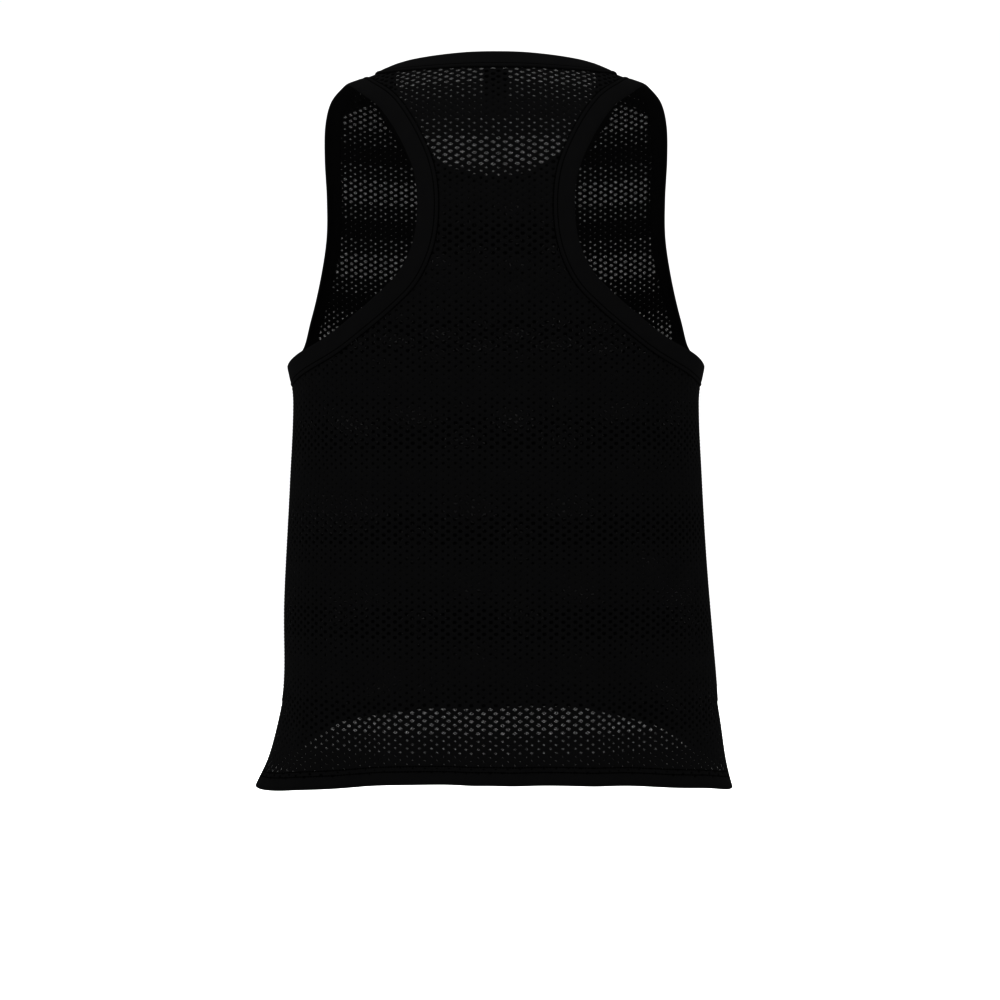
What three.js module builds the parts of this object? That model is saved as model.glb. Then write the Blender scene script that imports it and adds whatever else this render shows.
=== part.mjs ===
// A running vest of knitted mesh, filled out as it is worn: a back with a narrow racer shape, a front with
// a low round neck, a folded band round each armhole and the neck, open slits at the sides of the hem,
// and a plain label inside the neck. The cloth is a thin wall round an empty, open hollow.
//
// Millimetres. +Z is up, the front faces -Y and the back +Y. The origin is level with the undersides of
// the shoulder straps, in the plane of the side seams.
import * as THREE from 'three';

// Cloth
const MESH_CLOTH = 1.6;
const FOLDED_CLOTH = 2.4;
const LABEL_CLOTH = 1;
const SEAM_GAP = 0.3;

// Widths of what is folded or sewn on
const ARMHOLE_BAND = 20;
const NECK_BAND = 23;
const HEM_DEPTH = 16;
const HEM_STEP = 1;
const LABEL = { width: 24, height: 45, clearance: 1.1 };

// The general figure that the vest hangs on. Each level is a rounded oblong, and the last stretch below
// the shoulders rounds over to a ridge that slopes down from the neck.
const OBLONG_POWER = 2.6;
const SHOULDER_ROUND = 235;
const RIDGE = { top: 52, slope: 0.4, rounding: 40 };
const LEVELS = [
  { z: -720, halfWidth: 214, back: 126, front: 118 },
  { z: -617, halfWidth: 211, back: 122, front: 115 },
  { z: -577, halfWidth: 209.5, back: 120, front: 114 },
  { z: -512, halfWidth: 207, back: 118, front: 115 },
  { z: -395, halfWidth: 201, back: 119, front: 117 },
  { z: -317, halfWidth: 198, back: 122, front: 122 },
  { z: -283, halfWidth: 202, back: 124, front: 124 },
  { z: -230, halfWidth: 205, back: 125, front: 125 },
  { z: -150, halfWidth: 210, back: 123, front: 121 },
  { z: 60, halfWidth: 212, back: 123, front: 121 },
];

// Side slits: each panel's corner swings out below the end of the side seam
const SLIT_TOP = -617;
const SLIT_LENGTH = 78;
const SLIT_CURVE = 1.4;
const CORNER_SWING = { back: 17, front: 7 };

// Hem edges: the height at the centre, and how far the corners hang below it
const HEMS = {
  back: { centre: -676.5, drop: 20, reach: 230, power: 2.3 },
  front: { centre: -631, drop: 42, reach: 213, power: 3.5 },
};

// Edge of the left armhole, from under the arm up the back, over the shoulder and down the front
const ARMHOLE_EDGE = [
  { side: 'back', x: 203, z: -283 },
  { side: 'back', x: 182, z: -272 },
  { side: 'back', x: 156, z: -259 },
  { side: 'back', x: 134, z: -243 },
  { side: 'back', x: 108, z: -222 },
  { side: 'back', x: 89, z: -202 },
  { side: 'back', x: 77, z: -176 },
  { side: 'back', x: 73, z: -145 },
  { side: 'back', x: 76, z: -112 },
  { side: 'back', x: 88, z: -80 },
  { side: 'back', x: 110, z: -43 },
  { side: 'back', x: 131, z: -23 },
  { side: 'front', x: 150, z: -10 },
  { side: 'front', x: 163, z: -19 },
  { side: 'front', x: 170, z: -38 },
  { side: 'front', x: 172, z: -72 },
  { side: 'front', x: 171, z: -110 },
  { side: 'front', x: 172, z: -149 },
  { side: 'front', x: 178, z: -190 },
  { side: 'front', x: 187, z: -235 },
  { side: 'front', x: 194, z: -266 },
];
// Where the shoulder seam meets the edge, in rows of the table
const ARMHOLE_SHOULDER = 13.5;

// Left half of the neck edge, from the middle of the back to the middle of the front
const NECK_EDGE = [
  { side: 'back', x: 0, z: 13 },
  { side: 'back', x: 35, z: 13 },
  { side: 'back', x: 65, z: 12 },
  { side: 'back', x: 84, z: 11 },
  { side: 'back', x: 94, z: 10 },
  { side: 'front', x: 98, z: 8.5 },
  { side: 'front', x: 99, z: -3 },
  { side: 'front', x: 94, z: -17 },
  { side: 'front', x: 86, z: -29 },
  { side: 'front', x: 78, z: -40 },
  { side: 'front', x: 71, z: -51 },
  { side: 'front', x: 62, z: -61 },
  { side: 'front', x: 49, z: -69 },
  { side: 'front', x: 28, z: -76 },
  { side: 'front', x: 0, z: -78.5 },
];
const NECK_SHOULDER = 6;

// How the panels are divided into facets
const HALF_COLUMNS = 10;
const STRAP_COLUMNS = 3;
const BAND_COLUMNS = 2;
const HEM_ROWS = 2;
const EVEN_ROWS = 0.3;
const LABEL_ROWS = 3;
const PANEL_CUT = {
  back: { bodyRows: 18, neckRow: 16, strapRows: 8, underarm: -302 },
  front: { bodyRows: 16, neckRow: 12, strapRows: 4, underarm: -302 },
};
const NECK_STEPS = HALF_COLUMNS - STRAP_COLUMNS;

// How finely places on the figure and along its edges are worked out
const GRADIENT_STEP = 0.01;
const SETTLE_TURNS = 8;
const CORNER_TURNS = 20;
const CURVE_STEPS = 400;
const INSET_STEPS = 4;

const { clamp, lerp } = THREE.MathUtils;

// ---- The figure ----

function levelAt(z, key) {
  const last = LEVELS.length - 2;
  let k = 0;
  while (k < last && z > LEVELS[k + 1].z) k += 1;
  const slope = (i) => {
    const low = LEVELS[Math.max(i - 1, 0)];
    const high = LEVELS[Math.min(i + 1, last + 1)];
    return (high[key] - low[key]) / (high.z - low.z);
  };
  const [lower, upper] = [LEVELS[k], LEVELS[k + 1]];
  const span = upper.z - lower.z;
  const t = clamp((z - lower.z) / span, 0, 1);
  const [t2, t3] = [t * t, t * t * t];
  return (2 * t3 - 3 * t2 + 1) * lower[key] + (t3 - 2 * t2 + t) * span * slope(k)
    + (3 * t2 - 2 * t3) * upper[key] + (t3 - t2) * span * slope(k + 1);
}

const ridgeHeight = (x) => RIDGE.top - RIDGE.slope * Math.hypot(x, RIDGE.rounding);

function halfWidth(z, side) {
  const below = Math.max(0, (SLIT_TOP - z) / SLIT_LENGTH);
  return levelAt(z, 'halfWidth') + CORNER_SWING[side] * below ** SLIT_CURVE;
}

// How much of the full depth is left near the ridge, squared: 0 on the ridge, 1 once clear of it
function shoulderShare(x, z) {
  const below = Math.min(1, (ridgeHeight(x) - z) / SHOULDER_ROUND);
  return below * (2 - below);
}

const oblongShare = (x, z, side) => 1 - (Math.abs(x) / halfWidth(z, side)) ** OBLONG_POWER;

// Above 0 outside the figure, 0 on it
function outside(p) {
  const side = p.y > 0 ? 'back' : 'front';
  return (p.y / levelAt(p.z, side)) ** 2 - shoulderShare(p.x, p.z) * oblongShare(p.x, p.z, side);
}

function gradient(p) {
  const step = GRADIENT_STEP;
  const slope = (dx, dy, dz) => {
    const ahead = outside(new THREE.Vector3(p.x + dx, p.y + dy, p.z + dz));
    const behind = outside(new THREE.Vector3(p.x - dx, p.y - dy, p.z - dz));
    return (ahead - behind) / (2 * step);
  };
  return new THREE.Vector3(slope(step, 0, 0), slope(0, step, 0), slope(0, 0, step));
}

const outward = (p) => gradient(p).normalize();

// The nearest point of the figure to a point close to it
function settle(p) {
  const q = p.clone();
  for (let turn = 0; turn < SETTLE_TURNS; turn += 1) {
    const g = gradient(q);
    q.addScaledVector(g, -outside(q) / g.lengthSq());
  }
  return q;
}

function onFigure(x, z, side) {
  const share = Math.max(0, shoulderShare(x, z) * oblongShare(x, z, side));
  const sign = side === 'back' ? 1 : -1;
  return new THREE.Vector3(x, sign * levelAt(z, side) * Math.sqrt(share), z);
}

// ---- Edges and seam lines ----

const edgePoints = (table) => table.map(({ side, x, z }) => onFigure(x, z, side));

// Points evenly spaced along a smooth curve between two of its table rows
function alongEdge(curve, rowCount, fromRow, toRow, steps) {
  const dense = Array.from({ length: CURVE_STEPS + 1 }, (_, i) => (
    curve.getPoint(lerp(fromRow, toRow, i / CURVE_STEPS) / rowCount)
  ));
  const run = [0];
  for (let i = 1; i <= CURVE_STEPS; i += 1) run.push(run[i - 1] + dense[i].distanceTo(dense[i - 1]));
  return Array.from({ length: steps + 1 }, (_, k) => {
    const want = (run[CURVE_STEPS] * k) / steps;
    const i = Math.max(1, run.findIndex((length) => length >= want - 1e-9));
    return settle(dense[i - 1].clone().lerp(dense[i], (want - run[i - 1]) / (run[i] - run[i - 1])));
  });
}

// Each point moved along the cloth, square to the edge, towards the side where the cloth is
function inset(points, width, turn) {
  const count = points.length;
  return points.map((point, i) => {
    const along = points[(i + 1) % count].clone().sub(points[(i - 1 + count) % count]).normalize();
    const across = outward(point).cross(along).multiplyScalar(turn).normalize();
    let moved = point;
    for (let step = 0; step < INSET_STEPS; step += 1) {
      moved = settle(moved.clone().addScaledVector(across, width / INSET_STEPS));
    }
    return moved;
  });
}

const mirrored = (points) => points.map((p) => new THREE.Vector3(-p.x, p.y, p.z));

function armholeLoop() {
  const curve = new THREE.CatmullRomCurve3(edgePoints(ARMHOLE_EDGE), true, 'centripetal');
  const rows = ARMHOLE_EDGE.length;
  const { back, front } = PANEL_CUT;
  const overBack = alongEdge(curve, rows, 0, ARMHOLE_SHOULDER, back.neckRow + back.strapRows);
  const downFront = alongEdge(curve, rows, ARMHOLE_SHOULDER, rows, front.neckRow + front.strapRows);
  return [...overBack, ...downFront.slice(1, -1)];
}

function neckLoop() {
  const left = edgePoints(NECK_EDGE);
  const right = mirrored(left.slice(1, -1)).reverse();
  const curve = new THREE.CatmullRomCurve3([...left, ...right], true, 'centripetal');
  const rows = left.length + right.length;
  const { back, front } = PANEL_CUT;
  const backHalf = alongEdge(curve, rows, 0, NECK_SHOULDER, NECK_STEPS + back.strapRows);
  const frontMiddle = left.length - 1;
  const frontHalf = alongEdge(curve, rows, NECK_SHOULDER, frontMiddle, NECK_STEPS + front.strapRows);
  const half = [...backHalf, ...frontHalf.slice(1)];
  return [...half, ...mirrored(half.slice(1, -1)).reverse()];
}

// ---- Walls ----

// A closed wall over a grid of points of the figure. `present(row, column)` says which cells hold cloth,
// `from` and `to` give the heights of its two faces over the figure in each row.
function wall(rows, { present = () => true, from = () => 0, to = () => MESH_CLOTH, ring = false }) {
  const columns = rows[0].length;
  const position = [];
  const vertex = new Map();
  const vertexAt = (row, column, outer) => {
    const line = row % rows.length;
    const key = `${line},${column},${outer}`;
    if (!vertex.has(key)) {
      const p = rows[line][column];
      const height = outer ? to(line) : from(line);
      const q = p.clone().addScaledVector(outward(p), height);
      vertex.set(key, position.length / 3);
      position.push(q.x, q.y, q.z);
    }
    return vertex.get(key);
  };
  const index = [];
  const quad = (mirror, a, b, c, d) => index.push(...(mirror ? [a, b, d, b, c, d] : [a, b, c, a, c, d]));
  const cellRows = ring ? rows.length : rows.length - 1;
  const has = (row, column) => {
    const line = ring ? (row + cellRows) % cellRows : row;
    return line >= 0 && line < cellRows && column >= 0 && column < columns - 1 && present(line, column);
  };
  for (let r = 0; r < cellRows; r += 1) {
    for (let c = 0; c < columns - 1; c += 1) {
      if (!has(r, c)) continue;
      const corner = [[r, c], [r, c + 1], [r + 1, c + 1], [r + 1, c]];
      const [a, b, d, e] = corner.map(([row, column]) => vertexAt(row, column, true));
      const [i, j, k, l] = corner.map(([row, column]) => vertexAt(row, column, false));
      const mirror = corner.reduce((sum, [row, column]) => sum + rows[row % rows.length][column].x, 0) < 0;
      quad(mirror, a, b, d, e);
      quad(mirror, i, l, k, j);
      if (!has(r - 1, c)) quad(mirror, a, i, j, b);
      if (!has(r, c + 1)) quad(mirror, b, j, k, d);
      if (!has(r + 1, c)) quad(mirror, d, k, l, e);
      if (!has(r, c - 1)) quad(mirror, e, l, i, a);
    }
  }
  const geometry = new THREE.BufferGeometry();
  geometry.setAttribute('position', new THREE.Float32BufferAttribute(position, 3));
  geometry.setIndex(volume(position, index) > 0 ? index : index.reverse());
  return geometry;
}

function volume(position, index) {
  const at = (i) => new THREE.Vector3().fromArray(position, 3 * i);
  let sum = 0;
  for (let i = 0; i < index.length; i += 3) {
    sum += at(index[i]).dot(at(index[i + 1]).cross(at(index[i + 2])));
  }
  return sum;
}

// ---- Panels ----

function hemHeight(x, side) {
  const { centre, drop, reach, power } = HEMS[side];
  return centre - drop * (Math.abs(x) / reach) ** power;
}

// A row of the panel across the body, from one end to the other, bent from its middle to its ends
function crossRow(end, middleHeight, side) {
  const full = halfWidth(end.z, side);
  const swing = Math.asin(Math.min(1, Math.abs(end.x) / full));
  return Array.from({ length: 2 * HALF_COLUMNS + 1 }, (_, i) => {
    const share = i / HALF_COLUMNS - 1;
    if (Math.abs(share) === 1) return new THREE.Vector3(share * end.x, end.y, end.z);
    const x = (end.x * Math.sin(share * swing)) / Math.sin(swing);
    const z = middleHeight(x) + (end.z - middleHeight(end.x)) * share ** 2;
    return onFigure(x, z, side);
  });
}

function sideSeamPoint(z, side) {
  const off = side === 'back' ? SEAM_GAP / 2 : -SEAM_GAP / 2;
  return new THREE.Vector3(halfWidth(z, side), off, z);
}

function cornerHeight(side) {
  let z = HEMS[side].centre;
  for (let turn = 0; turn < CORNER_TURNS; turn += 1) z = hemHeight(halfWidth(z, side), side);
  return z;
}

// Rows from the hem edge up to the armhole seam, then up the armhole seam to the neck, then up the straps
function panelRows(side, armholeSeam, neckSeam) {
  const { bodyRows, neckRow, strapRows, underarm } = PANEL_CUT[side];
  const corner = cornerHeight(side);
  const seamTop = armholeSeam[0].z - corner;
  const folded = HEM_DEPTH + HEM_STEP;
  const heights = [0, HEM_DEPTH, folded];
  for (let i = 1; i < bodyRows; i += 1) heights.push(lerp(folded, seamTop, i / bodyRows));
  const rows = heights.map((up) => {
    const level = Math.max(0, (up - folded) / (seamTop - folded));
    const middleHeight = (x) => lerp(hemHeight(x, side) + Math.min(up, folded), underarm, level);
    return crossRow(sideSeamPoint(corner + up, side), middleHeight, side);
  });
  const neckMiddle = neckSeam[0].z;
  const climb = armholeSeam[neckRow].z - armholeSeam[0].z;
  for (let i = 0; i < neckRow; i += 1) {
    const end = i === 0 ? sideSeamPoint(armholeSeam[0].z - SEAM_GAP / 2, side) : armholeSeam[i];
    const climbed = (armholeSeam[i].z - armholeSeam[0].z) / climb;
    const share = lerp(climbed, i / neckRow, EVEN_ROWS);
    const middle = lerp(underarm, neckMiddle, share);
    rows.push(crossRow(end, () => middle, side));
  }
  const strap = (inner, outer) => Array.from({ length: STRAP_COLUMNS + 1 }, (_, i) => {
    if (i === 0) return inner;
    if (i === STRAP_COLUMNS) return outer;
    return settle(inner.clone().lerp(outer, i / STRAP_COLUMNS));
  });
  for (let i = 0; i <= strapRows; i += 1) {
    const across = strap(neckSeam[NECK_STEPS + i], armholeSeam[neckRow + i]);
    const middle = neckSeam.slice(0, NECK_STEPS);
    const half = [...middle, ...across];
    rows.push([...mirrored(half.slice(1)).reverse(), ...half]);
  }
  const [beforeLast, last] = rows.slice(-2);
  rows[rows.length - 1] = last.map((point, i) => {
    const back = beforeLast[i].clone().sub(point);
    return point.clone().addScaledVector(back, SEAM_GAP / 2 / Math.max(back.length(), SEAM_GAP));
  });
  return rows;
}

function panel(side, armholeSeam, neckSeam) {
  const rows = panelRows(side, armholeSeam, neckSeam);
  const firstStrapRow = rows.length - 1 - PANEL_CUT[side].strapRows;
  const isStrap = (column) => column < STRAP_COLUMNS || column >= 2 * HALF_COLUMNS - STRAP_COLUMNS;
  return wall(rows, {
    present: (row, column) => row < firstStrapRow || isStrap(column),
    to: (row) => (row < HEM_ROWS ? FOLDED_CLOTH : MESH_CLOTH),
  });
}

// ---- Bands and label ----

function band(edge, width, turn) {
  const lines = [edge];
  for (let c = 1; c <= BAND_COLUMNS; c += 1) lines.push(inset(edge, (width * c) / BAND_COLUMNS, turn));
  const rows = edge.map((_, i) => lines.map((line) => line[i]));
  return wall(rows, { to: () => FOLDED_CLOTH, ring: true });
}

function neckLabel(top) {
  const rows = [];
  for (let r = 0; r <= LABEL_ROWS; r += 1) {
    const z = top - (LABEL.height * r) / LABEL_ROWS;
    rows.push([-0.5, 0.5].map((share) => onFigure(share * LABEL.width, z, 'back')));
  }
  return wall(rows, { from: () => -LABEL.clearance - LABEL_CLOTH, to: () => -LABEL.clearance });
}

// ---- Assembly ----

const group = new THREE.Group();
const meshCloth = { color: 0x0b0b0c, roughness: 0.85, metalness: 0 };
const bandCloth = { color: 0x0d0d0e, roughness: 0.8, metalness: 0 };
const labelCloth = { color: 0x101011, roughness: 0.6, metalness: 0 };

function add(name, geometry, look) {
  const mesh = new THREE.Mesh(geometry, new THREE.MeshStandardMaterial(look));
  mesh.name = name;
  group.add(mesh);
}

const armhole = armholeLoop();
const armholeSeam = inset(armhole, ARMHOLE_BAND + SEAM_GAP, -1);
const neck = neckLoop();
const neckSeam = inset(neck, NECK_BAND + SEAM_GAP, 1);

const { back, front } = PANEL_CUT;
const shoulderStep = back.neckRow + back.strapRows;
const neckShoulder = NECK_STEPS + back.strapRows;
const neckFront = neckShoulder + NECK_STEPS + front.strapRows;
const backArmholeSeam = armholeSeam.slice(0, shoulderStep + 1);
const frontArmholeSeam = [armholeSeam[0], ...armholeSeam.slice(shoulderStep).reverse()];
const backNeckSeam = neckSeam.slice(0, neckShoulder + 1);
const frontNeckSeam = neckSeam.slice(neckShoulder, neckFront + 1).reverse();

add('back_panel', panel('back', backArmholeSeam, backNeckSeam), meshCloth);
add('front_panel', panel('front', frontArmholeSeam, frontNeckSeam), meshCloth);
add('armhole_band_left', band(armhole, ARMHOLE_BAND, -1), bandCloth);
add('armhole_band_right', band(mirrored(armhole).reverse(), ARMHOLE_BAND, -1), bandCloth);
add('neck_band', band(neck, NECK_BAND, 1), bandCloth);
add('neck_label', neckLabel(backNeckSeam[0].z), labelCloth);

export default group;
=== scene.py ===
"""A racerback running vest in eyelet mesh, worn by nobody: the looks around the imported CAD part.

Shapes are worked out in millimetres on the same figure as the CAD part, and scaled to metres when a
piece is made. +Z is up, the front faces -Y and the back +Y.
"""

import math

import bpy
import numpy as np
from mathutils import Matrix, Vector


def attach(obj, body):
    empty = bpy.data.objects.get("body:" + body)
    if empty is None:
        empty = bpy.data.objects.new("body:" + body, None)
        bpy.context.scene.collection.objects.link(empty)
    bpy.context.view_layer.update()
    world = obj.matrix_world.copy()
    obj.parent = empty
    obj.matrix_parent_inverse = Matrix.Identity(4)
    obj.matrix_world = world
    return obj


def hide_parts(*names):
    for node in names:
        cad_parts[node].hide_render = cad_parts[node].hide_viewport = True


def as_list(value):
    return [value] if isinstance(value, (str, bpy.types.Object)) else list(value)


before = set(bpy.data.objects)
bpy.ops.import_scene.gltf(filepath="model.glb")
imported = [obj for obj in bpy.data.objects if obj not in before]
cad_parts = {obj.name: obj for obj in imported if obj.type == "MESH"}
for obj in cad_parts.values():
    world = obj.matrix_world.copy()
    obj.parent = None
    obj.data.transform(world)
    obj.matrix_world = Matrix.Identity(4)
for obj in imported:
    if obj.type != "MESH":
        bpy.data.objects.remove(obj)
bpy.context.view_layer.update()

MM = 0.001
scene = bpy.context.scene

# ---- The figure that the vest hangs on, as in the CAD part ----

OBLONG_POWER = 2.6
SHOULDER_ROUND = 235
RIDGE_TOP, RIDGE_SLOPE, RIDGE_ROUNDING = 52, 0.4, 40
# Height, half width, depth of the back, depth of the front
LEVELS = np.array([
    (-720, 214, 126, 118),
    (-617, 211, 122, 115),
    (-577, 209.5, 120, 114),
    (-512, 207, 118, 115),
    (-395, 201, 119, 117),
    (-317, 198, 122, 122),
    (-283, 202, 124, 124),
    (-230, 205, 125, 125),
    (-150, 210, 123, 121),
    (60, 212, 123, 121),
], float)
HALF_WIDTH, DEPTH = 1, {"back": 2, "front": 3}
SLIT_TOP, SLIT_LENGTH, SLIT_CURVE = -617, 78, 1.4
CORNER_SWING = {"back": 17, "front": 7}
HEMS = {  # height in the middle, how far the corners hang below it, half width there, power of the curve
    "back": (-676.5, 20, 230, 2.3),
    "front": (-631, 42, 213, 3.5),
}
# Edges of the left armhole, from under the arm, and of the neck, from the back's middle, as (x, z); and the
# places in them of the shoulder seam's ends
ARMHOLE_EDGE = {
    "back": [
        (203, -283), (182, -272), (156, -259), (134, -243), (108, -222), (89, -202), (77, -176),
        (73, -145), (76, -112), (88, -80), (110, -43), (131, -23),
    ],
    "front": [
        (150, -10), (163, -19), (170, -38), (172, -72), (171, -110), (172, -149), (178, -190),
        (187, -235), (194, -266),
    ],
}
NECK_EDGE = {
    "back": [(0, 13), (35, 13), (65, 12), (84, 11), (94, 10)],
    "front": [
        (98, 8.5), (99, -3), (94, -17), (86, -29), (78, -40), (71, -51), (62, -61), (49, -69),
        (28, -76), (0, -78.5),
    ],
}
ARMHOLE_SHOULDER, NECK_SHOULDER = 13.5, 6
ARMHOLE_BAND, NECK_BAND = 20, 23
GRADIENT_STEP = 0.01


def columns(*values):
    """Points from their coordinates."""
    return np.stack(np.broadcast_arrays(*values), axis=-1)


def smooth_step(t):
    """Shares of the start, the start's slope, the end and the end's slope, at `t` of the way."""
    return 2 * t**3 - 3 * t**2 + 1, t**3 - 2 * t**2 + t, 3 * t**2 - 2 * t**3, t**3 - t**2


level_slopes = np.zeros_like(LEVELS)
for i in range(len(LEVELS)):
    low, high = LEVELS[max(i - 1, 0)], LEVELS[min(i + 1, len(LEVELS) - 1)]
    level_slopes[i] = (high - low) / (high[0] - low[0])


def level_at(z, column):
    """A size of the figure at a height, smoothly between the rows of LEVELS."""
    k = np.searchsorted(LEVELS[1:-1, 0], z, side="left")
    low, high = LEVELS[k], LEVELS[k + 1]
    span = high[..., 0] - low[..., 0]
    start, start_slope, end, end_slope = smooth_step(np.clip((z - low[..., 0]) / span, 0, 1))
    return (
        start * low[..., column] + start_slope * span * level_slopes[k, column]
        + end * high[..., column] + end_slope * span * level_slopes[k + 1, column]
    )


def half_width(z, back):
    """Half the figure's width; its corners swing out below the side seams."""
    below = np.maximum(0, (SLIT_TOP - z) / SLIT_LENGTH) ** SLIT_CURVE
    swing = np.where(back, CORNER_SWING["back"], CORNER_SWING["front"])
    return level_at(z, HALF_WIDTH) + swing * below


def section_share(x, z, back):
    """What is left of the full depth at a place, squared."""
    ridge = RIDGE_TOP - RIDGE_SLOPE * np.hypot(x, RIDGE_ROUNDING)
    below = np.minimum(1, (ridge - z) / SHOULDER_ROUND)
    return below * (2 - below) * (1 - (np.abs(x) / half_width(z, back)) ** OBLONG_POWER)


def depth_at(z, back):
    return np.where(back, level_at(z, DEPTH["back"]), level_at(z, DEPTH["front"]))


def outside(p):
    """Above 0 outside the figure, 0 on it."""
    x, y, z = p[..., 0], p[..., 1], p[..., 2]
    back = y > 0
    return (y / depth_at(z, back)) ** 2 - section_share(x, z, back)


def gradient(p):
    slopes = []
    for shift in np.eye(3) * GRADIENT_STEP:
        slopes.append((outside(p + shift) - outside(p - shift)) / (2 * GRADIENT_STEP))
    return np.stack(slopes, axis=-1)


def unit(v):
    return v / np.linalg.norm(v, axis=-1, keepdims=True)


def outward(p):
    return unit(gradient(p))


def settle(p, turns=5):
    """The figure's nearest points to points close to it."""
    for _ in range(turns):
        g = gradient(p)
        p = p - g * (outside(p) / (g * g).sum(-1))[..., None]
    return p


def on_figure(side, x, z):
    x, z = np.broadcast_arrays(np.asarray(x, float), np.asarray(z, float))
    back = side == "back"
    y = depth_at(z, back) * np.sqrt(np.maximum(0, section_share(x, z, back)))
    return columns(x, y if back else -y, z)


def run_along(line):
    """The distance run to each point of an open line."""
    return np.concatenate([[0], np.cumsum(np.linalg.norm(np.diff(line, axis=0), axis=1))])


def points_at(want, run, points):
    """Points of a line at the distances `want`, when `run` is the distance to each of its own points."""
    return columns(*[np.interp(want, run, column) for column in points.T])


# ---- Folds and creases of the cloth ----

# Folds, as x and z of the start, x and z of the end, half width, and height or depth below 0. Those at the
# hem are fullest at their start, the others in their middle.
CREASES = {
    ("back", "hem"): [
        (178, -705, 170, -500, 24, 5), (133, -705, 126, -430, 25, -8), (86, -700, 90, -470, 26, 5),
        (21, -690, 27, -400, 17, 10), (-11, -690, -12, -420, 22, 9.5), (-64, -690, -68, -500, 26, 4.5),
        (-90, -700, -84, -460, 18, 6.5), (-130, -700, -132, -480, 22, -6),
        (-170, -705, -162, -560, 24, 3),
    ],
    ("back", "mid"): [
        (190, -330, 120, -390, 15, 1.8), (-186, -330, -104, -404, 17, 2.2),
        (-190, -352, -130, -420, 13, -1.8), (186, -360, 136, -430, 13, -1.5),
        (92, -190, 40, -250, 18, -1.6), (-90, -190, -34, -262, 18, -1.8),
    ],
    ("front", "hem"): [
        (158, -680, 150, -470, 23, 5), (112, -670, 106, -520, 19, -4.5), (62, -660, 70, -440, 24, 7.5),
        (20, -650, 16, -540, 17, -3), (-26, -650, -18, -470, 25, 6), (-84, -660, -92, -430, 22, 7),
        (-122, -670, -118, -540, 16, -4), (-166, -680, -158, -520, 22, 4),
    ],
    ("front", "mid"): [
        (186, -340, 112, -380, 16, 1.8), (-188, -336, -120, -392, 15, 1.6),
        (150, -200, 96, -160, 15, 1.6), (-152, -206, -90, -158, 15, 1.8),
    ],
}
CREASE_PIECES = 7

# Side of the body, height, reach above and below it, and how far the cloth stands out or in at the sides
SIDE_BULGES = [
    (-1, -628, 100, 42, 6.1),
    (1, -590, 50, 30, -3.0),
    (1, -700, 22, 30, 4.5),
    (-1, -272, 9, 9, 3.5),
    (1, -274, 9, 9, 2.5),
    (-1, -215, 32, 30, -2.0),
    (1, -215, 32, 30, -2.0),
]
SIDE_BULGE_DEPTH, SIDE_BULGE_ACROSS = 62, 150

creases = []
share = np.linspace(0, 1, CREASE_PIECES + 1)
for (side, fade), rows in CREASES.items():
    for x, z, end_x, end_z, width, height in rows:
        path = on_figure(side, x + share * (end_x - x), z + share * (end_z - z))
        creases.append((path, width, height, fade))


def crease_height(p):
    """How far the cloth stands off the figure at points of it."""
    total = np.zeros(p.shape[:-1])
    for path, width, height, fade in creases:
        nearest = np.full(total.shape, np.inf)
        along = np.zeros(total.shape)
        for k in range(CREASE_PIECES):
            a, ab = path[k], path[k + 1] - path[k]
            t = np.clip((p - a) @ ab / (ab @ ab), 0, 1)
            d = ((p - a - t[..., None] * ab) ** 2).sum(-1)
            closer = d < nearest
            nearest = np.where(closer, d, nearest)
            along = np.where(closer, (k + t) / CREASE_PIECES, along)
        fullness = np.cos(along * math.pi / 2) if fade == "hem" else np.sin(along * math.pi)
        total += height * fullness**2 * np.exp(-nearest / width**2)
    x, y, z = p[..., 0], p[..., 1], p[..., 2]
    for way, level, above, below, height in SIDE_BULGES:
        up = (z - level) / np.where(z > level, above, below)
        beside = np.clip(x * way / SIDE_BULGE_ACROSS, 0, 1) ** 2
        total += height * beside * np.exp(-(up**2) - (y / SIDE_BULGE_DEPTH) ** 2)
    return total


def lift(p, height):
    """Points of the figure raised to a height over it, folds included."""
    return p + outward(p) * (np.asarray(height) + crease_height(p))[..., None]


# ---- Panel cloth: u runs across from the middle, v runs up from the waist ----

WAIST, UNDERARM = -560, -290
NET_STEP = 6.0
NET_ACROSS = 6.0
SIDE_REACH = 306
STRAP_REACH = 240
NET_UP, NET_DOWN = 690, 156
ROW_TURN, ROW_FINE, ROW_OVERSHOOT = math.pi * 0.75, 900, 60
SEAM_CLEAR = 0.05
FIND_TURNS, FIND_STEP = 12, 0.5
NARROW_ABOVE = {"back": 290, "front": 300}


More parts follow.
